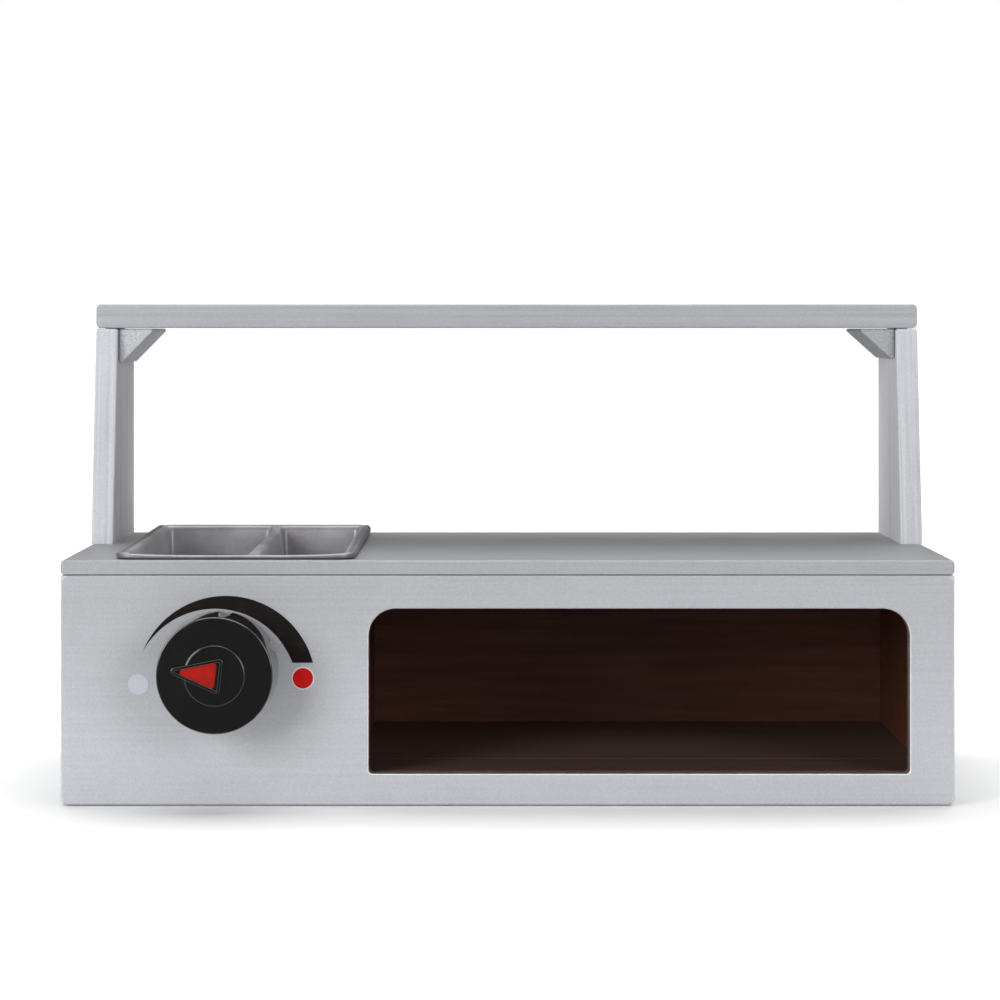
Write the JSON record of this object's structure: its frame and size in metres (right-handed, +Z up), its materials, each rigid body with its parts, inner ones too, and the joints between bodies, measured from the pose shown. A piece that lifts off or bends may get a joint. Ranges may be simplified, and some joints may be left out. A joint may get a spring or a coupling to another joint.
{
  "type": "toy oven",
  "caption": "Play counter with an oven cavity behind a rounded window, a clicking heat dial, a drop-in topping tray and an upper shelf on leaning posts.",
  "frame": {"origin": "bottom centre of the whole object's box at rest, on the surface that it stands on; the box includes the dial, which stands out of the front", "axes": "+Z up, +X to the right as seen from the front, +Y from the front to the back"},
  "size_m": [0.457, 0.275, 0.2576],
  "materials": {
    "silver_board": "silver paint over wood, with fine brush marks",
    "brown_board": "dark brown paint, satin",
    "bare_wood": "bare, planed",
    "tray_metal": "pressed sheet, finely scratched",
    "black_plastic": "moulded, high gloss",
    "red_plastic": "moulded, satin",
    "white_nylon": "moulded, matte",
    "zinc_steel": "zinc plated",
    "black_ink": "screen print, worn by the brush marks below it",
    "pale_ink": "screen print",
    "red_ink": "screen print"
  },
  "bodies": {
    "oven": {"front_panel": "silver_board", "left_side_panel": "silver_board", "right_side_panel": "silver_board", "back_panel": "silver_board", "cavity_divider": "brown_board", "floor_board": "brown_board", "hearth_strip": "brown_board", "left_floor_cleat": "bare_wood", "right_floor_cleat": "bare_wood", "countertop": "silver_board", "left_post": "silver_board", "right_post": "silver_board", "top_shelf": "silver_board", "left_gusset": "silver_board", "right_gusset": "silver_board", "dial_bush": "white_nylon", "click_spring": "zinc_steel", "click_spring_screws": "zinc_steel", "stop_pegs": "zinc_steel", "dial_scale_print": "black_ink", "cool_dot_print": "pale_ink", "hot_dot_print": "red_ink", "front_dowels": "bare_wood", "counter_dowels": "bare_wood", "post_dowels": "bare_wood", "shelf_dowels": "bare_wood", "back_screws": "zinc_steel"},
    "dial": {"knob_body": "black_plastic", "knob_pointer": "red_plastic", "detent_wheel": "white_nylon", "wheel_washer": "zinc_steel", "wheel_screw": "zinc_steel"},
    "tray": {"topping_tray": "tray_metal"}
  },
  "joints": [
    {"name": "dial_turn", "type": "hinge", "parent": "oven", "child": "dial", "pos_m": [-0.1471, -0.1025, 0.07], "axis": [0, 1, 0], "range_deg": [-15, 180], "deforming": ["click_spring"]},
    {"name": "tray_lift", "type": "slide", "parent": "oven", "child": "tray", "axis": [0, 0, 1], "range_m": [0, 0.05]}
  ]
}
